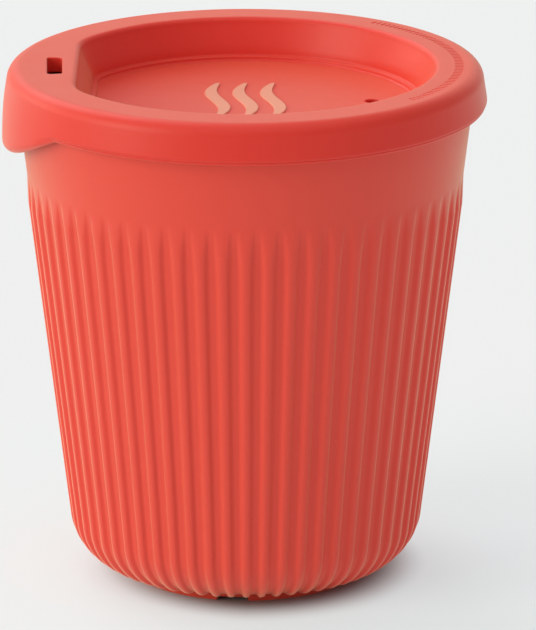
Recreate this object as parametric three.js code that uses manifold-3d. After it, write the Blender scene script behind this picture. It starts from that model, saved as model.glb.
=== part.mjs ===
// Rigid ribbed travel cup with a soft push-on sip lid.
// Millimetres, +Z up. The origin is on the cup's axis, on the surface that the foot stands on.
// The drinking side, with the sip slot, faces -X and the air vent faces +X.

import * as THREE from 'three';
import { mergeVertices } from 'three/addons/utils/BufferGeometryUtils.js';
import Module from 'manifold-3d';

const wasm = await Module();
wasm.setup();

// Cup wall. The smooth band is a cone. The valleys between the ribs lie on a slightly smaller cone.
const CUP_HEIGHT = 96.6;
const WALL_THICKNESS = 2.0;
const BAND_RADIUS = 41.76; // at BAND_Z
const BAND_Z = 79.8;
const WALL_SLOPE = 0.12; // growth of radius per mm of height
const VALLEY_SINK = 0.18;
const RIM_CHAMFER = 0.6;

// Ribs
const RIB_COUNT = 60;
const RIB_HEIGHT = 0.65; // from valley to crest
const RIB_TOP = 79.4; // where crests and valleys part from the band
const RIB_FULL = 73.9; // where the ribs reach their full height
const COLUMNS_PER_RIB = 4;

// Base and foot ring
const CORNER_RADIUS = 11.2; // of the crests, round the bottom edge
const FOOT_HEIGHT = 1.2;
const FOOT_RADIUS = 23.4;
const FOOT_WIDTH = 2.8;
const FOOT_CHAMFER = 0.35;
const BASE_THICKNESS = 2.2;
const BASE_RISE = 0.75; // of the underside's middle above its edge
const INSIDE_CORNER_RADIUS = 9.5;
const NOTCH_COUNT = 3;
const NOTCH_WIDTH = 5.8;
const NOTCH_DEPTH = 0.9;
const FIRST_NOTCH_ANGLE = -6; // degrees from -Y towards +X

// Lid
const TOTAL_HEIGHT = 100.0;
const LAND_RADIUS = 42.7; // outer edge of the flat top
const SHOULDER_RADIUS = 2.7;
const SKIRT_BOTTOM = 92.45;
const SKIRT_RADIUS = 46.1;
const SKIRT_TAPER = 0.148;
const SKIRT_EDGE = 0.5; // radius of its lower outer edge
const KNEE_Z = 94.4; // the skirt leans inwards above this level and hangs straight below it
const GROOVE_TOP = 97.0;
const GROOVE_RADIUS = 44.1;
const PLUG_BOTTOM = 90.0;
const PLUG_CLEARANCE = 0.5;
const PLUG_CHAMFER = 0.8;
const BEAD_HEIGHT = 0.18;
const BEAD_Z = 93.4;
const BEAD_HALF_WIDTH = 0.8;

// Drinking lobe: the skirt hangs lower and stands out a little round -X
const LOBE_ANGLE = 270; // degrees from -Y towards +X
const LOBE_HALF_ANGLE = 39;
const LOBE_DEPTH = 8.3;
const LOBE_BULGE = 0.25;
const LOBE_EDGE = 1.5;

// Recess in the top of the lid: a circle with one flat side
const RECESS_RADIUS = 36.0;
const RECESS_FLAT = 31.7; // distance of the flat side from the axis
const RECESS_CORNER = 12.0;
const FLOOR_RADIUS = 33.6;
const FLOOR_Z = 92.2;
const STEP_Z = 92.95;
const STEP_WIDTH = 0.7;
const STEP_SLOPE = 0.1; // rise of the step's top, so that it drains
const EDGE_ROUND = 0.9;

// Openings in the lid
const SLOT_RADIUS = 36.6;
const SLOT_WIDTH = 2.9; // along the radius
const SLOT_LENGTH = 12.2; // along the rim
const SLOT_TURN = 2; // degrees from -X towards -Y
const POCKET_ROOF = 97.2;
const POCKET_FLAT = 34.6;
const POCKET_RADIUS = 38.3;
const VENT_X = 24.3;
const VENT_Y = 2.0;
const VENT_RADIUS = 1.45;

// Raised mark in the recess: three waves of steam
const WAVE_SPACING = 5.3;
const WAVE_LENGTH = 25.0;
const WAVE_SWING = 1.3;
const WAVE_WIDTH = 2.8;
const WAVE_RISE = 0.35;
const WAVE_END = 0.04; // share of a half sine left off at each end, so that the ends stay blunt
const WAVE_STEPS = 10;
const MARK_Y = 1.9;

const CUP_COLUMNS = RIB_COUNT * COLUMNS_PER_RIB;
const SMOOTH_COLUMNS = 72; // round the lid, the inside and the foot
const OUTER_CORNER_STEPS = 4;
const INNER_CORNER_STEPS = 6;
const SHOULDER_STEPS = 5;
const EDGE_STEPS = 2;
const SLOT_SEGMENTS = 8;
const RECESS_SEGMENTS = 18;
const VENT_SEGMENTS = 20;
const CUT_EXTRA = 1.0; // how far a cutting shape runs past the face it cuts

// ---------------------------------------------------------------- helpers

function solid(geometry) {
  const bare = geometry.clone();
  bare.deleteAttribute('normal');
  bare.deleteAttribute('uv');
  const merged = mergeVertices(bare);
  const triangles = [];
  for (let n = 0; n < merged.index.count; n += 3) {
    const [a, b, c] = [0, 1, 2].map((k) => merged.index.getX(n + k));
    if (a !== b && b !== c && c !== a) {
      triangles.push(a, b, c);
    }
  }
  const mesh = new wasm.Mesh({
    numProp: 3,
    vertProperties: new Float32Array(merged.attributes.position.array),
    triVerts: new Uint32Array(triangles),
  });
  return new wasm.Manifold(mesh);
}

function toMesh(name, body, material) {
  const { vertProperties, triVerts } = body.getMesh();
  const geometry = new THREE.BufferGeometry();
  geometry.setAttribute('position', new THREE.BufferAttribute(vertProperties, 3));
  geometry.setIndex(new THREE.BufferAttribute(triVerts, 1));
  geometry.computeVertexNormals();
  const mesh = new THREE.Mesh(geometry, material);
  mesh.name = name;
  return mesh;
}

// A solid of revolution about +Z. place(angle, row, point) may move each point of the profile,
// where angle is 0 at -Y and grows towards +X.
function revolve(profile, columns, place = (angle, row, point) => point) {
  const geometry = new THREE.LatheGeometry(profile, columns);
  const position = geometry.attributes.position;
  for (let n = 0; n < position.count; n += 1) {
    const column = Math.floor(n / profile.length) % columns;
    const row = n % profile.length;
    const angle = ((column + 0.5) * 2 * Math.PI) / columns;
    const point = place(angle, row, profile[row]);
    position.setXYZ(n, point.x * Math.sin(angle), point.y, point.x * Math.cos(angle));
  }
  geometry.rotateX(Math.PI / 2);
  return solid(geometry);
}

function extrude(shape, bottom, top) {
  const settings = { depth: top - bottom, bevelEnabled: false, curveSegments: SLOT_SEGMENTS };
  const geometry = new THREE.ExtrudeGeometry(shape, settings);
  geometry.translate(0, 0, bottom);
  return solid(geometry);
}

function arc(centreR, centreZ, radius, from, to, steps) {
  const points = [];
  for (let n = 0; n <= steps; n += 1) {
    const angle = THREE.MathUtils.degToRad(from + ((to - from) * n) / steps);
    const r = centreR + radius * Math.cos(angle);
    points.push(new THREE.Vector2(r, centreZ + radius * Math.sin(angle)));
  }
  return points;
}

function bandRadius(z) {
  return BAND_RADIUS + WALL_SLOPE * (z - BAND_Z);
}

// ---------------------------------------------------------------- cup

// Outer profile, from the axis under the base to the axis at the rim, without the foot ring. stand is
// how far the ribbed stretch stands proud of the valleys: RIB_HEIGHT on a crest, 0 in a valley.
function cupProfile(stand) {
  const slopeAngle = Math.atan(WALL_SLOPE);
  const cornerRadius = CORNER_RADIUS - RIB_HEIGHT + stand;
  const centreZ = FOOT_HEIGHT + CORNER_RADIUS;
  const tangentZ = centreZ - CORNER_RADIUS * Math.sin(slopeAngle);
  const tangentR = bandRadius(tangentZ) - VALLEY_SINK + RIB_HEIGHT;
  const centreR = tangentR - CORNER_RADIUS * Math.cos(slopeAngle);
  const lastAngle = -THREE.MathUtils.radToDeg(slopeAngle);
  const wall = (z, out = 0) => new THREE.Vector2(bandRadius(z) + out, z);
  return [
    new THREE.Vector2(0, FOOT_HEIGHT + BASE_RISE),
    ...arc(centreR, centreZ, cornerRadius, -90, lastAngle, OUTER_CORNER_STEPS),
    wall(RIB_FULL, stand - VALLEY_SINK),
    wall(RIB_TOP),
    wall(CUP_HEIGHT - RIM_CHAMFER),
    wall(CUP_HEIGHT, -RIM_CHAMFER),
    new THREE.Vector2(0, CUP_HEIGHT),
  ];
}

function footRing() {
  const inside = FOOT_RADIUS - FOOT_WIDTH;
  const top = FOOT_HEIGHT + BASE_RISE;
  return revolve([
    new THREE.Vector2(0, FOOT_HEIGHT),
    new THREE.Vector2(inside, FOOT_HEIGHT),
    new THREE.Vector2(inside + FOOT_CHAMFER, 0),
    new THREE.Vector2(FOOT_RADIUS - FOOT_CHAMFER, 0),
    new THREE.Vector2(FOOT_RADIUS, FOOT_CHAMFER),
    new THREE.Vector2(FOOT_RADIUS, top),
    new THREE.Vector2(0, top),
  ], SMOOTH_COLUMNS);
}

function cupOutside() {
  const valley = cupProfile(0);
  return revolve(cupProfile(RIB_HEIGHT), CUP_COLUMNS, (angle, row, crest) => {
    const phase = (angle * RIB_COUNT) / (2 * Math.PI);
    const fromCrest = Math.abs(phase - Math.round(phase));
    return fromCrest < 0.25 ? crest : valley[row];
  });
}

function cupCavity() {
  const insideRadius = (z) => bandRadius(z) - WALL_THICKNESS;
  const bottom = FOOT_HEIGHT + BASE_THICKNESS;
  const centreZ = bottom + INSIDE_CORNER_RADIUS;
  const centreR = insideRadius(centreZ) - INSIDE_CORNER_RADIUS;
  const lip = CUP_HEIGHT - RIM_CHAMFER;
  return revolve([
    new THREE.Vector2(0, bottom),
    ...arc(centreR, centreZ, INSIDE_CORNER_RADIUS, -90, 0, INNER_CORNER_STEPS),
    new THREE.Vector2(insideRadius(lip), lip),
    new THREE.Vector2(insideRadius(lip) + RIM_CHAMFER, CUP_HEIGHT),
    new THREE.Vector2(insideRadius(lip) + RIM_CHAMFER, CUP_HEIGHT + CUT_EXTRA),
    new THREE.Vector2(0, CUP_HEIGHT + CUT_EXTRA),
  ], SMOOTH_COLUMNS);
}

function footNotch(index) {
  const length = FOOT_WIDTH + 2 * CUT_EXTRA;
  const box = new THREE.BoxGeometry(NOTCH_WIDTH, length, 2 * NOTCH_DEPTH);
  box.translate(0, FOOT_WIDTH / 2 - FOOT_RADIUS, 0);
  const angle = FIRST_NOTCH_ANGLE + (360 * index) / NOTCH_COUNT;
  box.rotateZ(THREE.MathUtils.degToRad(angle));
  return solid(box);
}

function makeCup() {
  let body = cupOutside().add(footRing()).subtract(cupCavity());
  for (let index = 0; index < NOTCH_COUNT; index += 1) {
    body = body.subtract(footNotch(index));
  }
  return body;
}

// ---------------------------------------------------------------- lid

// How much of the lobe's shape the skirt's edge takes on at an angle from -Y: 1 in its middle
function lobeShare(angle) {
  const fromLobe = Math.abs(THREE.MathUtils.radToDeg(angle) - LOBE_ANGLE);
  if (fromLobe >= LOBE_HALF_ANGLE) {
    return 0;
  }
  return Math.cos((Math.PI / 2) * (fromLobe / LOBE_HALF_ANGLE));
}

// The skirt from the top of the rim's groove down inside, round its edge and up to the knee
function skirtProfile(share) {
  const bottom = SKIRT_BOTTOM - LOBE_DEPTH * share;
  const radius = SKIRT_RADIUS + LOBE_BULGE * share;
  const edge = SKIRT_EDGE + (LOBE_EDGE - SKIRT_EDGE) * share;
  const kneeRadius = SKIRT_RADIUS - SKIRT_TAPER * (KNEE_Z - SKIRT_BOTTOM - SKIRT_EDGE);
  return [
    new THREE.Vector2(GROOVE_RADIUS, GROOVE_TOP),
    new THREE.Vector2(GROOVE_RADIUS, bottom),
    ...arc(radius - edge, bottom + edge, edge, -90, 0, EDGE_STEPS),
    new THREE.Vector2(kneeRadius, KNEE_Z),
  ];
}

function plugProfile() {
  const radius = (z) => bandRadius(z) - WALL_THICKNESS - PLUG_CLEARANCE;
  const wall = (z, out = 0) => new THREE.Vector2(radius(z) + out, z);
  return [
    new THREE.Vector2(radius(PLUG_BOTTOM) - PLUG_CHAMFER, PLUG_BOTTOM),
    wall(PLUG_BOTTOM + PLUG_CHAMFER),
    wall(BEAD_Z - BEAD_HALF_WIDTH),
    wall(BEAD_Z, BEAD_HEIGHT),
    wall(BEAD_Z + BEAD_HALF_WIDTH),
    wall(GROOVE_TOP),
  ];
}

function lidOutside() {
  const skirtAngle = THREE.MathUtils.radToDeg(Math.atan(SKIRT_TAPER));
  const shoulderZ = TOTAL_HEIGHT - SHOULDER_RADIUS;
  const underside = [new THREE.Vector2(0, PLUG_BOTTOM), ...plugProfile()];
  const skirt = skirtProfile(0);
  const profile = [
    ...underside,
    ...skirt,
    ...arc(LAND_RADIUS, shoulderZ, SHOULDER_RADIUS, skirtAngle, 90, SHOULDER_STEPS),
    new THREE.Vector2(0, TOTAL_HEIGHT),
  ];
  return revolve(profile, SMOOTH_COLUMNS, (angle, row, point) => {
    const skirtRow = row - underside.length;
    const onSkirt = skirtRow >= 0 && skirtRow < skirt.length;
    return onSkirt ? skirtProfile(lobeShare(angle))[skirtRow] : point;
  });
}

// Circle with one flat side towards -X, its two corners rounded
function flattedCircle(radius, flat, corner) {
  const centreX = corner - flat;
  const centreY = Math.sqrt((radius - corner) ** 2 - centreX ** 2);
  const turn = Math.atan2(centreY, centreX);
  const shape = new THREE.Shape();
  shape.absarc(0, 0, radius, -turn, turn, false);
  shape.absarc(centreX, centreY, corner, turn, Math.PI, false);
  shape.absarc(centreX, -centreY, corner, Math.PI, 2 * Math.PI - turn, false);
  return shape;
}

function lidRecess() {
  const step = STEP_WIDTH / RECESS_RADIUS;
  const floor = FLOOR_RADIUS / RECESS_RADIUS;
  const levels = [
    [FLOOR_Z, floor - step],
    [STEP_Z, floor - step / 2],
    [STEP_Z + STEP_SLOPE, floor + step / 2],
    [TOTAL_HEIGHT - EDGE_ROUND, 1],
    [TOTAL_HEIGHT, 1 + EDGE_ROUND / RECESS_RADIUS],
    [TOTAL_HEIGHT + CUT_EXTRA, 1 + EDGE_ROUND / RECESS_RADIUS],
  ];
  const last = levels.length - 1;
  const geometry = new THREE.ExtrudeGeometry(
    flattedCircle(RECESS_RADIUS, RECESS_FLAT, RECESS_CORNER),
    { depth: last, steps: last, bevelEnabled: false, curveSegments: RECESS_SEGMENTS },
  );
  const position = geometry.attributes.position;
  for (let n = 0; n < position.count; n += 1) {
    const [z, scale] = levels[Math.round(position.getZ(n))];
    position.setXYZ(n, position.getX(n) * scale, position.getY(n) * scale, z);
  }
  return solid(geometry);
}

function sipSlot() {
  const half = SLOT_LENGTH / 2 / SLOT_RADIUS;
  const middle = THREE.MathUtils.degToRad(180 + SLOT_TURN);
  const shape = new THREE.Shape();
  shape.absarc(0, 0, SLOT_RADIUS + SLOT_WIDTH / 2, middle - half, middle + half, false);
  shape.absarc(0, 0, SLOT_RADIUS - SLOT_WIDTH / 2, middle + half, middle - half, true);
  return extrude(shape, POCKET_ROOF - CUT_EXTRA, TOTAL_HEIGHT + CUT_EXTRA);
}

// Space under the sip slot, open to the drink below
function slotPocket() {
  const half = Math.acos(POCKET_FLAT / POCKET_RADIUS);
  const shape = new THREE.Shape();
  shape.absarc(0, 0, POCKET_RADIUS, Math.PI - half, Math.PI + half, false);
  shape.closePath();
  return extrude(shape, PLUG_BOTTOM - CUT_EXTRA, POCKET_ROOF);
}

function airVent() {
  const length = FLOOR_Z - PLUG_BOTTOM + 2 * CUT_EXTRA;
  const geometry = new THREE.CylinderGeometry(VENT_RADIUS, VENT_RADIUS, length, VENT_SEGMENTS);
  geometry.rotateX(Math.PI / 2);
  geometry.translate(VENT_X, VENT_Y, (FLOOR_Z + PLUG_BOTTOM) / 2);
  return solid(geometry);
}

// One wave of steam: a stroke of even width along a sine curve, lying in the recess floor
function steamWave(centreX) {
  const along = (t) => MARK_Y + WAVE_LENGTH * (t - 0.5);
  const across = (t) => centreX + WAVE_SWING * Math.sin(2 * Math.PI * t);
  const left = [];
  const right = [];
  for (let n = 0; n <= WAVE_STEPS; n += 1) {
    const t = n / WAVE_STEPS;
    const taper = Math.sqrt(Math.sin(Math.PI * (WAVE_END + (1 - 2 * WAVE_END) * t)));
    const half = (WAVE_WIDTH / 2) * taper;
    left.push(new THREE.Vector2(across(t) - half, along(t)));
    right.unshift(new THREE.Vector2(across(t) + half, along(t)));
  }
  const shape = new THREE.Shape([...left, ...right]);
  return extrude(shape, FLOOR_Z - CUT_EXTRA, FLOOR_Z + WAVE_RISE);
}

function makeLid() {
  let body = lidOutside().subtract(lidRecess());
  body = body.subtract(slotPocket()).subtract(sipSlot()).subtract(airVent());
  for (const side of [-1, 0, 1]) {
    body = body.add(steamWave(side * WAVE_SPACING));
  }
  return body;
}

// ---------------------------------------------------------------- assembly

const cupPlastic = new THREE.MeshStandardMaterial({ color: '#dc4c38', roughness: 0.5, metalness: 0 });
const lidSilicone = new THREE.MeshStandardMaterial({ color: '#e0493a', roughness: 0.6, metalness: 0 });

const travelCup = new THREE.Group();
travelCup.add(toMesh('cup_body', makeCup(), cupPlastic));
travelCup.add(toMesh('lid', makeLid(), lidSilicone));

export default travelCup;
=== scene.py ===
"""A rigid ribbed travel cup with a soft sip lid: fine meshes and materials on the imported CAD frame."""

import math

import bmesh
import bpy
import numpy as np
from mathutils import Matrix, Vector


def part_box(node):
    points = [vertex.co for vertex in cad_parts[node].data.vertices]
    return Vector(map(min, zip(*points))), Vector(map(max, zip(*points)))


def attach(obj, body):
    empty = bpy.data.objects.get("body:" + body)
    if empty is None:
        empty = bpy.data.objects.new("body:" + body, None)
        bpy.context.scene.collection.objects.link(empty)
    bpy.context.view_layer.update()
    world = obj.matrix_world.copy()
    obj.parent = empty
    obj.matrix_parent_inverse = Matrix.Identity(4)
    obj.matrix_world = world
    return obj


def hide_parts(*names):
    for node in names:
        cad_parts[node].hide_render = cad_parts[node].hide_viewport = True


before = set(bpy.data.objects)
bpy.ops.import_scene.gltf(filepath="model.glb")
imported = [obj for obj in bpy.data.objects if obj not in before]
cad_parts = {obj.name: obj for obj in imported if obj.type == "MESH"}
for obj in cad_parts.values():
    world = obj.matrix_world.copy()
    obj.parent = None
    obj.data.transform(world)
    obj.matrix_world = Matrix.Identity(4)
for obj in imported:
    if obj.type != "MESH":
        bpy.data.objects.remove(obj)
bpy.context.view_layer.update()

# Shapes are worked out in millimetres and stored in metres.
MM = 0.001

CUP_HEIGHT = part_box("cup_body")[1].z / MM
LID_LOW, LID_HIGH = (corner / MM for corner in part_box("lid"))

# Cup wall: the smooth band is a cone, and the valleys between the ribs lie on a slightly smaller one
WALL_THICKNESS = 2.0
BAND_RADIUS = 41.76  # at BAND_Z
BAND_Z = 79.8
WALL_SLOPE = 0.12
VALLEY_SINK = 0.18

# Ribs. Widths are shares of the pitch from one rib to the next.
RIB_COUNT = 60
RIB_HEIGHT = 0.70
RIB_TOP = 79.4
RIB_FULL = 73.9
CREST_HALF_WIDTH = 0.195
FLANK_WIDTH = 0.16  # of a rib's side, which runs out into the valley
CREST_BOW = 0.24  # fall of the crest from its middle to its edge, as a share of the height
CREST_SPREAD_Z = 69.0  # above this the crests widen towards the band
CREST_SPREAD = 0.11
RIB_TURN = math.radians(0.35)  # turn of the first crest from straight ahead
COLUMNS_PER_RIB = 16
BAND_GAP = 0.5  # from the ribs' top ends up to the first row of the plain band

# Base and foot ring
CORNER_RADIUS = 11.2
FOOT_HEIGHT = 1.2
FOOT_RADIUS = 23.4
FOOT_WIDTH = 2.8
FOOT_ROUND = 0.35
BASE_THICKNESS = 2.2
INSIDE_CORNER_RADIUS = 9.5
NOTCH_COUNT = 3
NOTCH_WIDTH = 5.8
NOTCH_DEPTH = 0.9
NOTCH_REACH = 0.3  # a notch's sloping end starts this far outside its half width
NOTCH_BLEND = 0.4  # and is this wide
FIRST_NOTCH = math.radians(-6)
FOOT_MEET = 0.3  # from the foot ring to where the rounded bottom edge starts
CORNER_STEPS = 20  # of the rounded bottom edge
RIB_FADE_STEPS = 6  # of those, the ones over which the ribs rise from nothing
CENTRE_RING = 3.0  # radius of the smallest ring round the middle of a flat face

# Lid
TOTAL_HEIGHT = LID_HIGH.z
SKIRT_RADIUS = 46.1
LAND_RADIUS = 42.7
SHOULDER_RADIUS = 2.7
SKIRT_BOTTOM = 92.45
SKIRT_TAPER = 0.148
SKIRT_EDGE = 0.5
KNEE_Z = 94.4  # the skirt leans inwards above this level and hangs straight below it
CREASE_Z = 93.05  # crease round the skirt, above the lip that ends it
CREASE_ROLL = 0.4  # height of the rounding above the crease
CREASE_CUT = 0.06  # depth of the crease behind the lip
CREASE_LIP = 0.12  # height of the rounding below it
CREASE_FADE = 0.35  # share of the lobe's shape at which the crease has run out
LIP_STEP = 0.30  # the lip's face lies this far inside the skirt's
GROOVE_TOP = 97.0
GROOVE_RADIUS = 44.1
GROOVE_ROUND = 0.3
INNER_EDGE = 0.4
GROOVE_ROOF_INSET = 0.6
PLUG_BOTTOM = 90.0
PLUG_ROUND = 0.8
UNDERSIDE_INSET = 2.0
PLUG_CLEARANCE = 0.5
BEAD_HEIGHT = 0.18
BEAD_Z = 93.4
BEAD_HALF_WIDTH = 0.8
LOBE_DEPTH = SKIRT_BOTTOM - LID_LOW.z
LOBE_HALF_ANGLE = math.radians(39)
LOBE_BULGE = 0.25
LOBE_EDGE = 1.8
LID_COLUMNS = 480

# Rows down the skirt, as shares of the way from its knee to its edge. They lie closest at the crease.
SKIRT_ROWS = (0.12, 0.25, 0.37, 0.48, 0.56, 0.63, 0.69, 0.75, 0.80, 0.84, 0.88, 0.91, 0.93, 0.96, 1.0)

# Recess in the top of the lid: a circle with one flat side, stepped in just above its floor
RECESS_RADIUS = 36.0
RECESS_FLAT = 31.7
RECESS_CORNER = 12.0
LEAST_CORNER = 1.0  # radius left at the flat side's ends, however far the outline is moved inwards
FLOOR_INSET = 2.4
FLOOR_Z = 92.2
STEP_Z = 92.95
STEP_WIDTH = 0.7
RECESS_EDGE = 1.1
FLOOR_FILLET = 0.5
STEP_ROUND = 0.2
WALL_FILLET = 0.45
WALL_TUCK = 0.25  # the wall's fillet ends this far outside the floor's outline
FLOOR_RINGS = (24, 12, 5, 1.5)  # their distances inwards from the step's foot
LAND_RINGS = (0.15, 0.4, 0.7, 0.93)  # shares of the way from the recess's edge to the land's

# Openings in the lid
SLOT_RADIUS = 36.6
SLOT_WIDTH = 2.9
SLOT_LENGTH = 12.2
SLOT_TURN = math.radians(2)
SLOT_CORNER = 0.8
SLOT_FLARE = 0.22
POCKET_ROOF = 97.2
POCKET_FLAT = 34.6
POCKET_RADIUS = 38.3
VENT_X = 24.3
VENT_Y = 2.0
VENT_RADIUS = 1.45
VENT_FLARE = 0.25
VENT_SEGMENTS = 48
CUT_OVERLAP = 0.5  # how far the slot's cut reaches into the pocket
CUT_EXTRA = 1.0  # how far a cut runs on past the face it opens

# Raised mark in the recess: three waves of steam
WAVE_SPACING = 5.3
WAVE_LENGTH = 25.0
WAVE_SWING = 1.3
WAVE_WIDTH = 2.8
WAVE_RISE = 0.3
WAVE_EDGE = 0.15
WAVE_END = 0.02  # share of a half sine left off at each end, so that the ends stay blunt
WAVE_ROOT = 0.4  # depth that a wave reaches into the floor
MARK_Y = 1.9

# Row of short grooves pressed into the lid's land, round the +X side
TICK_RADIUS = 40.7
TICK_LENGTH = 1.7
TICK_WIDTH = 0.42
TICK_DEPTH = 0.12
TICK_ROUND = 0.08  # how much smaller a groove's outline is at its bottom
TICK_FLARE = 0.05  # and how much larger above the land
TICK_ABOVE = 0.5  # height that the cut reaches above the land
TICK_END_FLAT = 0.01  # half the width of the flat left between an end's two corners
TICK_FROM = math.radians(-40)
TICK_TO = math.radians(52)
TICK_COUNT = 58

# Camera: where the photograph was taken from, as an elevation and a distance
CAMERA_ELEVATION = 0.302
CAMERA_DISTANCE = 1149.6
CAMERA_AIM = Vector((4.32, 0.0, 43.1))
FRAME_CENTRE = Vector((4.32, 0.0, 50.1))
CAMERA_LENS = 340.7

# Studio light. Each sun stands for a far softbox: where it shines from, the angle that it fills in
# degrees, its strength and its colour.
AMBIENT = 0.40
WHITE = (1, 1, 1)
SIDE_COLOR = (0.80, 1.0, 0.82)
SUNS = {
    "key": ((-0.45, 0.65, 0.75), 40, 0.85, WHITE),
    "left_fill": ((-0.85, -0.45, 0.35), 40, 1.62, SIDE_COLOR),
    "rim": ((-0.9, 0.45, 0.2), 40, 0.8, SIDE_COLOR),
    "top_fill": ((-0.1, -0.15, 1.0), 80, 0.75, WHITE),
}
BACK_PLACE = (0.0, 6.0, 2.4)
BACK_SIZE = (8.0, 3.6)
BACK_POWER = 40

# Floor, with lengths in metres. Its diffuse tone alone would come out mid grey, so it glows as well. The
# glow stops around the cup, which paints a darker contact shadow there.
FLOOR_SIZE = 12
FLOOR_TONE = 0.40
FLOOR_MOTTLE = 0.01
FLOOR_GLOW = 0.44
# The dark circle in the floor's glow is a painted contact shadow.
GLOW_DARK = 0.0235  # no glow within this distance of the cup's axis
GLOW_FULL = 0.036  # and the whole of it beyond this one
GLOW_LIT_SIDE = -0.03  # towards this X, the side that the light comes from, the dark area narrows
GLOW_LIT_SHIFT = 0.0066  # by this much
GLOW_COLOR = (0.985, 0.975, 1.0, 1)
GLOW_NEAR_COLOR = (0.97, 1.09, 1.11, 1)  # near the cup, to cancel the red light that it throws
GLOW_NEUTRAL = 0.15  # the glow has its plain colour beyond this distance

# Materials. Noise scales are per metre.
MOTTLE_SCALE = 35
GLOSS_SCALE = 120
GLOSS_SWING = 0.06


# ---------------------------------------------------------------- mesh helpers

def arc(centre_r, centre_z, radius, start, end, steps):
    """Points (r, z) on a circular arc. Angles are in degrees."""
    angles = np.radians(np.linspace(start, end, steps + 1))
    return [(centre_r + radius * math.cos(a), centre_z + radius * math.sin(a)) for a in angles]


def line(start, end, steps):
    """Points on a straight line, both ends included."""
    shares = np.linspace(0, 1, steps + 1)
    return [tuple(np.array(start) * (1 - t) + np.array(end) * t) for t in shares]


def quarter(steps):
    """Angles from 0 to a right angle."""
    return np.linspace(0, math.pi / 2, steps + 1)


def columns(count):
    """Angles round the axis. Angle 0 points to -Y, and angles grow towards +X."""
    return np.arange(count) * 2 * math.pi / count


def to_xyz(radius, z, angle):
    """Arrays of radius and height at angles round the axis, as points."""
    return np.stack([radius * np.sin(angle), -radius * np.cos(angle), z + 0 * angle], axis=-1)


def closed_mesh(name, rings, start=None, end=None):
    """A closed object from rings of points. start and end are the points that close the two ends."""
    rows, count = rings.shape[:2]
    points = rings.reshape(-1, 3)
    here = np.arange(count)
    after = (here + 1) % count
    faces = []
    for row in range(rows - 1):
        a, b = row * count, (row + 1) * count
        faces += np.stack([a + here, a + after, b + after, b + here], axis=1).tolist()
    for centre, ring in ((start, 0), (end, (rows - 1) * count)):
        if centre is not None:
            faces += [[ring + i, ring + j, len(points)] for i, j in zip(here, after)]
            points = np.vstack([points, centre])
    mesh = bpy.data.meshes.new(name)
    mesh.from_pydata((points * MM).tolist(), [], faces)
    tidy = bmesh.new()
    tidy.from_mesh(mesh)
    bmesh.ops.recalc_face_normals(tidy, faces=tidy.faces)
    tidy.to_mesh(mesh)
    tidy.free()
    piece = bpy.data.objects.new(name, mesh)
    bpy.context.scene.collection.objects.link(piece)
    return piece


def loft(name, outlines):
    """A closed object through flat outlines, each an array of (x, y) and a height."""
    rings = [np.column_stack([outline, np.full(len(outline), z)]) for outline, z in outlines]
    return closed_mesh(name, np.array(rings), rings[0].mean(axis=0), rings[-1].mean(axis=0))


def boolean(target, tool, operation):
    """Cuts or joins tool into target, and removes tool."""
    step = target.modifiers.new(operation, "BOOLEAN")
    step.operation = operation
    step.solver = "EXACT"
    step.object = tool
    if operation == "UNION":
        step.material_mode = "TRANSFER"
    bpy.context.view_layer.update()
    evaluated = target.evaluated_get(bpy.context.evaluated_depsgraph_get())
    result = bpy.data.meshes.new_from_object(evaluated)
    target.modifiers.clear()
    target.data = result
    bpy.data.objects.remove(tool)


def join(name, pieces):
    """One object holding the meshes of several."""
    whole = bmesh.new()
    for piece in pieces:
        whole.from_mesh(piece.data)
        bpy.data.objects.remove(piece)
    mesh = bpy.data.meshes.new(name)
    whole.to_mesh(mesh)
    whole.free()
    joined = bpy.data.objects.new(name, mesh)
    bpy.context.scene.collection.objects.link(joined)
    return joined


def shade_smooth(piece, sharp_degrees=35):
    """Smooth shading with the flat faces kept flat, and edges over the given angle kept sharp."""
    piece.data.polygons.foreach_set("use_smooth", [True] * len(piece.data.polygons))
    piece.data.set_sharp_from_angle(angle=math.radians(sharp_degrees))
    weighted = piece.modifiers.new("weighted_normals", "WEIGHTED_NORMAL")
    weighted.keep_sharp = True


def smooth_step(t):
    t = np.clip(t, 0, 1)
    return t * t * (3 - 2 * t)


def band_radius(z):
    return BAND_RADIUS + WALL_SLOPE * (z - BAND_Z)


# ---------------------------------------------------------------- cup

def valley_radius(z):
    """Radius of the valleys' cone, which runs out into the band between RIB_FULL and RIB_TOP."""
    return band_radius(z) - VALLEY_SINK * np.clip((RIB_TOP - z) / (RIB_TOP - RIB_FULL), 0, 1)


def rib_rise(angle, z):
    """How far the ribs stand out of the valleys' cone at a height. They widen and fade at the top."""
    phase = (angle - RIB_TURN) * RIB_COUNT / (2 * math.pi)
    from_crest = np.abs(phase - np.round(phase))
    share = min(max((RIB_TOP - z) / (RIB_TOP - RIB_FULL), 0), 1)
    spread = min(max(z - CREST_SPREAD_Z, 0) / (RIB_TOP - CREST_SPREAD_Z), 1) ** 1.5
    half_width = CREST_HALF_WIDTH + CREST_SPREAD * spread
    bow = 1 - CREST_BOW * np.minimum(from_crest / half_width, 1) ** 2
    past_edge = np.clip((from_crest - half_width) / FLANK_WIDTH, 0, 1)
    side = (1 - past_edge) ** 2
    return RIB_HEIGHT * share * side * bow


def notch_lift(angle, z):
    """How far the foot's drain notches raise a point that would be at height z."""
    spacing = 2 * math.pi / NOTCH_COUNT
    turn = (angle - FIRST_NOTCH) / spacing
    across = np.abs(turn - np.round(turn)) * spacing * FOOT_RADIUS
    edge = smooth_step((NOTCH_WIDTH / 2 + NOTCH_REACH - across) / NOTCH_BLEND)
    return edge * max(NOTCH_DEPTH - z, 0)


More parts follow.
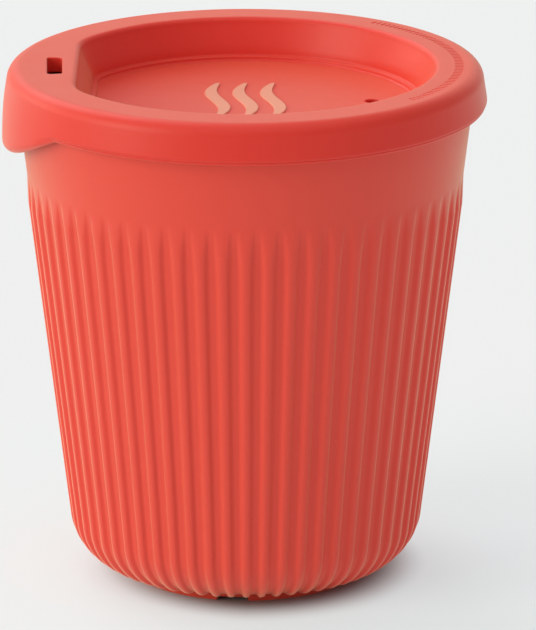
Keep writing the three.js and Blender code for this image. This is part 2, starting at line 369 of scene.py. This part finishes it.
def cup_outside_rows():
    """Rows of the valleys' surface from under the base to the rim.

    A row is its radius and height, the direction (r, z) that the ribs stand out in, and the share of
    their height that they have there.
    """
    slope = math.atan(WALL_SLOPE)
    normal = (math.cos(slope), -math.sin(slope))
    foot_in = FOOT_RADIUS - FOOT_WIDTH
    rows = []

    def smooth(points):
        rows.extend((r, z, 0, 0, 0) for r, z in points)

    smooth(line((CENTRE_RING, FOOT_HEIGHT), (foot_in - FOOT_ROUND, FOOT_HEIGHT), steps=3))
    smooth(arc(foot_in - FOOT_ROUND, FOOT_HEIGHT - FOOT_ROUND, FOOT_ROUND, 90, 0, steps=3)[1:])
    smooth(arc(foot_in + FOOT_ROUND, FOOT_ROUND, FOOT_ROUND, 180, 270, steps=4))
    smooth(arc(FOOT_RADIUS - FOOT_ROUND, FOOT_ROUND, FOOT_ROUND, -90, 0, steps=4))

    centre_z = FOOT_HEIGHT + CORNER_RADIUS
    tangent_z = centre_z - CORNER_RADIUS * math.sin(slope)
    crest_r = band_radius(tangent_z) - VALLEY_SINK + RIB_HEIGHT
    centre_r = crest_r - CORNER_RADIUS * math.cos(slope)
    inner = CORNER_RADIUS - RIB_HEIGHT
    first = -90 + math.degrees((FOOT_RADIUS + FOOT_MEET - centre_r) / inner)
    smooth([(FOOT_RADIUS, centre_z - inner - FOOT_MEET)])
    corner = arc(centre_r, centre_z, inner, first, -math.degrees(slope), CORNER_STEPS)
    for n, (r, z) in enumerate(corner):
        out = ((r - centre_r) / inner, (z - centre_z) / inner)
        rows.append((r, z, *out, float(smooth_step(n / RIB_FADE_STEPS))))

    lower_wall = np.linspace(tangent_z, CREST_SPREAD_Z, 5)[1:]
    upper_wall = np.linspace(CREST_SPREAD_Z, RIB_TOP, 28)[1:]
    for z in [*lower_wall, *upper_wall]:
        rows.append((valley_radius(z), z, *normal, 1.0))

    low, high = RIB_TOP + BAND_GAP, CUP_HEIGHT - WALL_THICKNESS / 2
    smooth(line((band_radius(low), low), (band_radius(high), high), steps=5))
    return rows


def cup_inside_rows():
    """Points (r, z) from the rim's outer edge over it and down inside to the middle of the base."""
    rim = WALL_THICKNESS / 2
    rim_r = band_radius(CUP_HEIGHT - rim) - rim
    bottom = FOOT_HEIGHT + BASE_THICKNESS
    corner_z = bottom + INSIDE_CORNER_RADIUS
    corner_r = band_radius(corner_z) - WALL_THICKNESS - INSIDE_CORNER_RADIUS
    return [
        *arc(rim_r, CUP_HEIGHT - rim, rim, 0, 180, steps=8)[1:],
        *line((rim_r - rim, CUP_HEIGHT - rim), (corner_r + INSIDE_CORNER_RADIUS, corner_z), steps=4)[1:],
        *arc(corner_r, corner_z, INSIDE_CORNER_RADIUS, 0, -90, steps=10)[1:],
        *line((corner_r, bottom), (CENTRE_RING, bottom), steps=2)[1:],
    ]


def make_cup():
    angle = columns(RIB_COUNT * COLUMNS_PER_RIB)
    rings = []
    for r, z, normal_r, normal_z, share in cup_outside_rows():
        rise = share * rib_rise(angle, z)
        lift = notch_lift(angle, z) if z < NOTCH_DEPTH else 0
        rings.append(to_xyz(r + rise * normal_r, z + rise * normal_z + lift, angle))
    for r, z in cup_inside_rows():
        rings.append(to_xyz(r + 0 * angle, z, angle))
    under = (0, 0, FOOT_HEIGHT)
    inside = (0, 0, FOOT_HEIGHT + BASE_THICKNESS)
    return closed_mesh("ribbed_cup", np.array(rings), under, inside)


# ---------------------------------------------------------------- lid

def recess_radius(angle, inset):
    """Distance from the axis to the recess outline at each angle, moved inwards by inset."""
    radius, flat = RECESS_RADIUS - inset, RECESS_FLAT - inset
    corner = max(RECESS_CORNER - inset, LEAST_CORNER)
    centre_x = corner - flat
    centre_y = math.sqrt((radius - corner) ** 2 - centre_x ** 2)
    turn = math.atan2(centre_y, centre_x)
    sweep = np.linspace(0, turn, 200)
    bend = np.linspace(turn, math.pi, 60)
    x = np.concatenate([radius * np.cos(sweep), centre_x + corner * np.cos(bend), [-flat]])
    y = np.concatenate([radius * np.sin(sweep), centre_y + corner * np.sin(bend), [0]])
    outline_angle = np.arctan2(y, x)
    from_x = np.abs(np.arctan2(-np.cos(angle), np.sin(angle)))
    straight = flat / np.maximum(-np.cos(from_x), 1e-6)
    curved = np.interp(from_x, outline_angle, np.hypot(x, y))
    on_flat = from_x > math.atan2(centre_y, -flat)
    return np.where(on_flat, straight, curved)


def lobe_share(angle):
    """How much of the lobe's shape the skirt's edge takes on: 1 at -X, and 0 away from the lobe."""
    from_lobe = np.abs(angle - 1.5 * math.pi)
    return np.cos(math.pi / 2 * np.minimum(from_lobe / LOBE_HALF_ANGLE, 1))


def recess_rings(angle):
    """Rings from the middle of the recess floor up its stepped wall to the land."""
    foot = FLOOR_INSET + STEP_WIDTH
    tuck = FLOOR_INSET - WALL_TUCK
    wall_low = STEP_Z + WALL_FILLET
    wall_top = TOTAL_HEIGHT - RECESS_EDGE
    rows = [(foot + far, FLOOR_Z) for far in FLOOR_RINGS]
    for t in quarter(5):
        rows.append((foot + FLOOR_FILLET * (1 - math.sin(t)), FLOOR_Z + FLOOR_FILLET * (1 - math.cos(t))))
    for t in quarter(5):
        rows.append((foot - STEP_ROUND * (1 - math.cos(t)), STEP_Z - STEP_ROUND * (1 - math.sin(t))))
    for t in quarter(5):
        rows.append((tuck + WALL_FILLET * (1 - math.sin(t)), STEP_Z + WALL_FILLET * (1 - math.cos(t))))
    for t in np.linspace(0, 1, 7)[1:]:
        rows.append((FLOOR_INSET * (1 - t), wall_low + (wall_top - wall_low) * t))
    for t in quarter(6)[1:]:
        rows.append((-RECESS_EDGE * (1 - math.cos(t)), wall_top + RECESS_EDGE * math.sin(t)))
    rings = [to_xyz(recess_radius(angle, inset), z, angle) for inset, z in rows]
    edge = recess_radius(angle, -RECESS_EDGE)
    for t in LAND_RINGS:
        rings.append(to_xyz(edge + (LAND_RADIUS - edge) * t, TOTAL_HEIGHT, angle))
    return rings


def crease_inset(z):
    """How far the skirt's face is drawn in at a height by the crease and the lip below it."""
    if z > CREASE_Z:
        return (LIP_STEP + CREASE_CUT) * (1 - math.sqrt(min((z - CREASE_Z) / CREASE_ROLL, 1)))
    return LIP_STEP + CREASE_CUT * (1 - smooth_step((CREASE_Z - z) / CREASE_LIP))


def skirt_rings(angle):
    """Rings from the land's outer edge over the shoulder, down the skirt, round its edge and up inside."""
    taper = math.degrees(math.atan(SKIRT_TAPER))
    shoulder = arc(LAND_RADIUS, TOTAL_HEIGHT - SHOULDER_RADIUS, SHOULDER_RADIUS, 90, taper, steps=12)
    knee_r = SKIRT_RADIUS - SKIRT_TAPER * (KNEE_Z - SKIRT_BOTTOM - SKIRT_EDGE)
    upper = [*shoulder, *line(shoulder[-1], (knee_r, KNEE_Z), steps=6)[1:]]
    rings = [to_xyz(r + 0 * angle, z, angle) for r, z in upper]

    share = lobe_share(angle)
    bottom = SKIRT_BOTTOM - LOBE_DEPTH * share
    radius = SKIRT_RADIUS + LOBE_BULGE * share
    edge = SKIRT_EDGE + (LOBE_EDGE - SKIRT_EDGE) * share
    creased = 1 - smooth_step(share / CREASE_FADE)
    fall = KNEE_Z - SKIRT_BOTTOM - SKIRT_EDGE
    for t in SKIRT_ROWS:
        hang = t + share * (1 - t) * t
        r = knee_r + (radius - knee_r) * hang - creased * crease_inset(KNEE_Z - fall * t)
        rings.append(to_xyz(r, KNEE_Z + (bottom + edge - KNEE_Z) * t, angle))
    lip_r = radius - creased * LIP_STEP
    for t in quarter(8)[1:]:
        rings.append(to_xyz(lip_r - edge * (1 - math.cos(t)), bottom + edge * (1 - math.sin(t)), angle))
    for t in quarter(5):
        r = GROOVE_RADIUS + INNER_EDGE * (1 - math.sin(t))
        rings.append(to_xyz(r + 0 * angle, bottom + INNER_EDGE * (1 - math.cos(t)), angle))
    low, top = bottom + INNER_EDGE, GROOVE_TOP - GROOVE_ROUND
    for t in np.linspace(0, 1, 9)[1:]:
        rings.append(to_xyz(GROOVE_RADIUS + 0 * angle, low + (top - low) * t, angle))
    return rings


def plug_radius(z):
    """Radius of the plug, which runs alongside the inside of the cup's wall."""
    return band_radius(z) - WALL_THICKNESS - PLUG_CLEARANCE


def plug_rows():
    """Points (r, z) across the groove's roof, down the plug and in under the lid."""
    roof_r, end_r = plug_radius(GROOVE_TOP), plug_radius(PLUG_BOTTOM)
    groove_corner = GROOVE_TOP - GROOVE_ROUND
    roof = ((GROOVE_RADIUS - GROOVE_ROOF_INSET, GROOVE_TOP), (roof_r + GROOVE_ROOF_INSET, GROOVE_TOP))
    bead = [
        (plug_radius(z) + BEAD_HEIGHT * math.cos(math.pi / 2 * (z - BEAD_Z) / BEAD_HALF_WIDTH), z)
        for z in np.linspace(BEAD_Z + BEAD_HALF_WIDTH, BEAD_Z - BEAD_HALF_WIDTH, 11)
    ]
    return [
        *arc(GROOVE_RADIUS - GROOVE_ROUND, groove_corner, GROOVE_ROUND, 0, 90, steps=4)[1:],
        *line(*roof, steps=2),
        *arc(roof_r + GROOVE_ROUND, groove_corner, GROOVE_ROUND, 90, 180, steps=4),
        *bead,
        *arc(end_r - PLUG_ROUND, PLUG_BOTTOM + PLUG_ROUND, PLUG_ROUND, 0, -90, steps=7),
        *line((end_r - UNDERSIDE_INSET, PLUG_BOTTOM), (CENTRE_RING, PLUG_BOTTOM), steps=4),
    ]


def lid_shell():
    angle = columns(LID_COLUMNS)
    rings = recess_rings(angle) + skirt_rings(angle)
    for r, z in plug_rows():
        rings.append(to_xyz(r + 0 * angle, z, angle))
    return closed_mesh("sip_lid", np.array(rings), (0, 0, FLOOR_Z), (0, 0, PLUG_BOTTOM))


def rounded_rectangle(half_u, half_v, corner, steps=8):
    """Outline (u, v) of a rectangle with round corners."""
    points = []
    for n, (sign_u, sign_v) in enumerate([(1, 1), (-1, 1), (-1, -1), (1, -1)]):
        for t in quarter(steps):
            turn = n * math.pi / 2 + t
            points.append((sign_u * (half_u - corner) + corner * math.cos(turn),
                           sign_v * (half_v - corner) + corner * math.sin(turn)))
    return np.array(points)


def along_rim(outline, radius, middle):
    """Wraps an outline (outwards, along the rim) onto a circle, centred on an angle from +X."""
    r = radius + outline[:, 0]
    turn = middle + outline[:, 1] / radius
    return np.column_stack([r * np.cos(turn), r * np.sin(turn)])


def flare(depth, width, top, steps=6):
    """Heights and outward growth of a round edge that ends at the height top, then runs on past it."""
    rows = []
    for t in quarter(steps):
        rows.append((top - depth * (1 - math.sin(t)), width * (1 - math.cos(t))))
    return [*rows, (top + CUT_EXTRA, width)]


def slot_tool():
    rows = [(POCKET_ROOF - CUT_OVERLAP, 0), *flare(SLOT_FLARE, SLOT_FLARE, TOTAL_HEIGHT)]
    outlines = []
    for z, grow in rows:
        outline = rounded_rectangle(SLOT_WIDTH / 2 + grow, SLOT_LENGTH / 2 + grow, SLOT_CORNER + grow)
        outlines.append((along_rim(outline, SLOT_RADIUS, math.pi + SLOT_TURN), z))
    return loft("slot_tool", outlines)


def pocket_tool():
    half = math.acos(POCKET_FLAT / POCKET_RADIUS)
    bow = np.linspace(math.pi - half, math.pi + half, 60)
    outline = POCKET_RADIUS * np.column_stack([np.cos(bow), np.sin(bow)])
    across = np.linspace(outline[-1, 1], outline[0, 1], 22)[1:-1]
    chord = np.column_stack([np.full(len(across), -POCKET_FLAT), across])
    outline = np.vstack([outline, chord])
    return loft("pocket_tool", [(outline, PLUG_BOTTOM - CUT_EXTRA), (outline, POCKET_ROOF)])


def vent_tool():
    turn = np.linspace(0, 2 * math.pi, VENT_SEGMENTS + 1)[:-1]
    circle = np.column_stack([np.cos(turn), np.sin(turn)])
    centre = (VENT_X, VENT_Y)
    rows = [(PLUG_BOTTOM - CUT_EXTRA, 0), *flare(VENT_FLARE, VENT_FLARE, FLOOR_Z)]
    return loft("vent_tool", [(circle * (VENT_RADIUS + grow) + centre, z) for z, grow in rows])


def tick_tools():
    """The short grooves on the land, each a rounded bar laid along the radius."""
    rows = (
        (TOTAL_HEIGHT - TICK_DEPTH, -TICK_ROUND),
        (TOTAL_HEIGHT - TICK_DEPTH / 2, 0),
        (TOTAL_HEIGHT + TICK_ABOVE, TICK_FLARE),
    )
    bars = []
    for middle in np.linspace(TICK_FROM, TICK_TO, TICK_COUNT):
        outlines = []
        for z, grow in rows:
            half = TICK_WIDTH / 2 + grow
            outline = rounded_rectangle(TICK_LENGTH / 2 + grow, half, half - TICK_END_FLAT, steps=4)
            outlines.append((along_rim(outline, TICK_RADIUS, middle), z))
        bars.append(loft("tick", outlines))
    return join("tick_tools", bars)


def wave_outline(centre_x, inset, steps=40):
    """Outline of one wave of steam: a stroke of even width along a sine curve, with tapered ends."""
    left, right = [], []
    for t in np.linspace(0, 1, steps + 1):
        half = (WAVE_WIDTH / 2 - inset) * math.sqrt(math.sin(math.pi * (WAVE_END + (1 - 2 * WAVE_END) * t)))
        x = centre_x + WAVE_SWING * math.sin(2 * math.pi * t)
        y = MARK_Y + (WAVE_LENGTH - 2 * inset) * (t - 0.5)
        left.append((x - half, y))
        right.append((x + half, y))
    return np.array(left + right[::-1])


def steam_mark():
    top = FLOOR_Z + WAVE_RISE
    rows = [(FLOOR_Z - WAVE_ROOT, 0), (top - WAVE_EDGE, 0), (top, WAVE_EDGE)]
    waves = []
    for side in (-1, 0, 1):
        outlines = [(wave_outline(side * WAVE_SPACING, inset), z) for z, inset in rows]
        waves.append(flat_loft(outlines))
    return join("steam_mark", waves)


def flat_loft(outlines):
    """A closed object through flat outlines that may bend, its two ends closed by bands of quads."""
    rings = np.array([np.column_stack([outline, np.full(len(outline), z)]) for outline, z in outlines])
    count = rings.shape[1]
    wave = closed_mesh("wave", rings)
    shape = bmesh.new()
    shape.from_mesh(wave.data)
    shape.verts.ensure_lookup_table()
    for ring in (0, (len(rings) - 1) * count):
        for n in range(count // 2 - 1):
            corners = (n, n + 1, count - 2 - n, count - 1 - n)
            shape.faces.new([shape.verts[ring + k] for k in corners])
    bmesh.ops.recalc_face_normals(shape, faces=shape.faces)
    shape.to_mesh(wave.data)
    shape.free()
    return wave


def make_lid(silicone, mark_silicone):
    lid = lid_shell()
    lid.data.materials.append(silicone)
    lid.data.materials.append(mark_silicone)
    for tool in (pocket_tool(), slot_tool(), vent_tool(), tick_tools()):
        boolean(lid, tool, "DIFFERENCE")
    mark = steam_mark()
    mark.data.materials.append(mark_silicone)
    boolean(lid, mark, "UNION")
    return lid


# ---------------------------------------------------------------- materials

def moulded(name, color, shade, roughness, grain, grain_depth, specular, sheen):
    """A moulded plastic or rubber: faint mottling, uneven gloss and a fine grain from the mould's skin."""
    material = bpy.data.materials.new(name)
    material.use_nodes = True
    nodes, links = material.node_tree.nodes, material.node_tree.links
    shader = nodes["Principled BSDF"]
    shader.inputs["IOR"].default_value = 1.49
    shader.inputs["Specular IOR Level"].default_value = specular
    shader.inputs["Subsurface Weight"].default_value = 0.05
    shader.inputs["Subsurface Radius"].default_value = (1.0, 0.25, 0.15)
    shader.inputs["Subsurface Scale"].default_value = 0.002
    shader.inputs["Sheen Weight"].default_value = sheen
    shader.inputs["Sheen Roughness"].default_value = 0.4
    shader.inputs["Sheen Tint"].default_value = (0.88, 0.78, 0.46, 1)
    place = nodes.new("ShaderNodeTexCoord")

    def noise(scale, detail):
        texture = nodes.new("ShaderNodeTexNoise")
        texture.inputs["Scale"].default_value = scale
        texture.inputs["Detail"].default_value = detail
        links.new(place.outputs["Object"], texture.inputs["Vector"])
        return texture.outputs["Fac"]

    mottle = nodes.new("ShaderNodeMix")
    mottle.data_type = "RGBA"
    mottle.inputs["A"].default_value = (*color, 1)
    mottle.inputs["B"].default_value = (*shade, 1)
    links.new(noise(MOTTLE_SCALE, 3), mottle.inputs["Factor"])
    links.new(mottle.outputs["Result"], shader.inputs["Base Color"])

    gloss = nodes.new("ShaderNodeMapRange")
    gloss.inputs["To Min"].default_value = roughness - GLOSS_SWING
    gloss.inputs["To Max"].default_value = roughness + GLOSS_SWING
    links.new(noise(GLOSS_SCALE, 5), gloss.inputs["Value"])
    links.new(gloss.outputs["Result"], shader.inputs["Roughness"])

    bump = nodes.new("ShaderNodeBump")
    bump.inputs["Strength"].default_value = 0.35
    bump.inputs["Distance"].default_value = grain_depth
    links.new(noise(grain, 4), bump.inputs["Height"])
    links.new(bump.outputs["Normal"], shader.inputs["Normal"])
    return material


def floor_material():
    """A matt pale sheet with a glow of its own. The glow fades out around the cup, painting a contact
    shadow there, and near the cup it is tinted to cancel the red light that the cup throws onto the floor.
    """
    material = bpy.data.materials.new("glowing_floor")
    material.use_nodes = True
    nodes, links = material.node_tree.nodes, material.node_tree.links
    shader = nodes["Principled BSDF"]
    shader.inputs["Roughness"].default_value = 0.9
    shader.inputs["Specular IOR Level"].default_value = 0.1
    place = nodes.new("ShaderNodeTexCoord")
    distance = nodes.new("ShaderNodeVectorMath")
    distance.operation = "LENGTH"
    links.new(place.outputs["Object"], distance.inputs[0])
    axes = nodes.new("ShaderNodeSeparateXYZ")
    links.new(place.outputs["Object"], axes.inputs["Vector"])
    # The painted shadow is narrower on the side that the light comes from.
    lit = nodes.new("ShaderNodeMapRange")
    lit.inputs["From Min"].default_value = GLOW_LIT_SIDE
    lit.inputs["From Max"].default_value = 0
    lit.inputs["To Min"].default_value = GLOW_LIT_SHIFT
    lit.inputs["To Max"].default_value = 0
    links.new(axes.outputs["X"], lit.inputs["Value"])
    narrowed = nodes.new("ShaderNodeMath")
    links.new(distance.outputs["Value"], narrowed.inputs[0])
    links.new(lit.outputs["Result"], narrowed.inputs[1])
    # Glow strength, zero round the cup's axis: a painted contact shadow.
    glow = nodes.new("ShaderNodeMapRange")
    glow.interpolation_type = "SMOOTHSTEP"
    glow.inputs["From Min"].default_value = GLOW_DARK
    glow.inputs["From Max"].default_value = GLOW_FULL
    glow.inputs["To Max"].default_value = FLOOR_GLOW
    links.new(narrowed.outputs["Value"], glow.inputs["Value"])
    links.new(glow.outputs["Result"], shader.inputs["Emission Strength"])
    # Near the cup the glow's colour is shifted to cancel the red light that the cup throws onto the floor.
    reach = nodes.new("ShaderNodeMapRange")
    reach.interpolation_type = "SMOOTHSTEP"
    reach.inputs["From Min"].default_value = GLOW_FULL
    reach.inputs["From Max"].default_value = GLOW_NEUTRAL
    links.new(distance.outputs["Value"], reach.inputs["Value"])
    tint = nodes.new("ShaderNodeMix")
    tint.data_type = "RGBA"
    tint.inputs["A"].default_value = GLOW_NEAR_COLOR
    tint.inputs["B"].default_value = GLOW_COLOR
    links.new(reach.outputs["Result"], tint.inputs["Factor"])
    links.new(tint.outputs["Result"], shader.inputs["Emission Color"])
    noise = nodes.new("ShaderNodeTexNoise")
    noise.inputs["Scale"].default_value = 3
    tone = nodes.new("ShaderNodeMix")
    tone.data_type = "RGBA"
    for socket, value in (("A", FLOOR_TONE), ("B", FLOOR_TONE + FLOOR_MOTTLE)):
        tone.inputs[socket].default_value = (value, value, value, 1)
    links.new(noise.outputs["Fac"], tone.inputs["Factor"])
    links.new(tone.outputs["Result"], shader.inputs["Base Color"])
    return material


# ---------------------------------------------------------------- studio

def make_camera():
    data = bpy.data.cameras.new("camera")
    data.sensor_width = 36
    data.lens = CAMERA_LENS
    data.clip_start = 0.05
    data.clip_end = 20
    camera = bpy.data.objects.new("camera", data)
    bpy.context.scene.collection.objects.link(camera)
    back = Vector((0, -math.cos(CAMERA_ELEVATION), math.sin(CAMERA_ELEVATION)))
    camera.location = (CAMERA_AIM + back * CAMERA_DISTANCE) * MM
    sight = FRAME_CENTRE * MM - camera.location
    camera.rotation_euler = sight.to_track_quat("-Z", "Y").to_euler()
    bpy.context.scene.camera = camera


def make_floor():
    bpy.ops.mesh.primitive_plane_add(size=FLOOR_SIZE)
    floor = bpy.context.object
    floor.name = "floor"
    floor.data.materials.append(floor_material())


def lamp(name, kind, towards, power, color=WHITE):
    """A lamp that shines on the object from the direction towards, given from the object."""
    data = bpy.data.lights.new(name, kind)
    data.energy = power
    data.color = color
    light = bpy.data.objects.new(name, data)
    light.rotation_euler = Vector(towards).to_track_quat("Z", "Y").to_euler()
    bpy.context.scene.collection.objects.link(light)
    return light


def make_light():
    world = bpy.data.worlds.new("studio")
    world.use_nodes = True
    background = world.node_tree.nodes["Background"]
    background.inputs["Color"].default_value = (*WHITE, 1)
    background.inputs["Strength"].default_value = AMBIENT
    bpy.context.scene.world = world
    for name, (towards, spread, power, color) in SUNS.items():
        lamp(name, "SUN", towards, power, color).data.angle = math.radians(spread)
    back = lamp("back_panel", "AREA", BACK_PLACE, BACK_POWER)
    back.location = BACK_PLACE
    back.data.shape = "RECTANGLE"
    back.data.size, back.data.size_y = BACK_SIZE
    bpy.context.scene.view_settings.view_transform = "Standard"


# ---------------------------------------------------------------- the whole

make_camera()
make_floor()
make_light()

cup_plastic = moulded(
    "cup_polypropylene", (0.80, 0.058, 0.034), (0.77, 0.053, 0.031),
    roughness=0.45, grain=2600, grain_depth=0.00004, specular=0.4, sheen=0.65,
)
lid_silicone = moulded(
    "lid_silicone", (0.77, 0.038, 0.024), (0.74, 0.034, 0.021),
    roughness=0.42, grain=1800, grain_depth=0.00003, specular=0.32, sheen=0.28,
)
mark_silicone = moulded(
    "lid_mark_silicone", (0.82, 0.28, 0.19), (0.79, 0.25, 0.17),
    roughness=0.42, grain=1800, grain_depth=0.00002, specular=0.3, sheen=0.35,
)

cup = make_cup()
cup.data.materials.append(cup_plastic)
shade_smooth(cup, sharp_degrees=50)
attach(cup, "cup")
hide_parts("cup_body")

lid = make_lid(lid_silicone, mark_silicone)
shade_smooth(lid)
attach(lid, "lid")
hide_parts("lid")
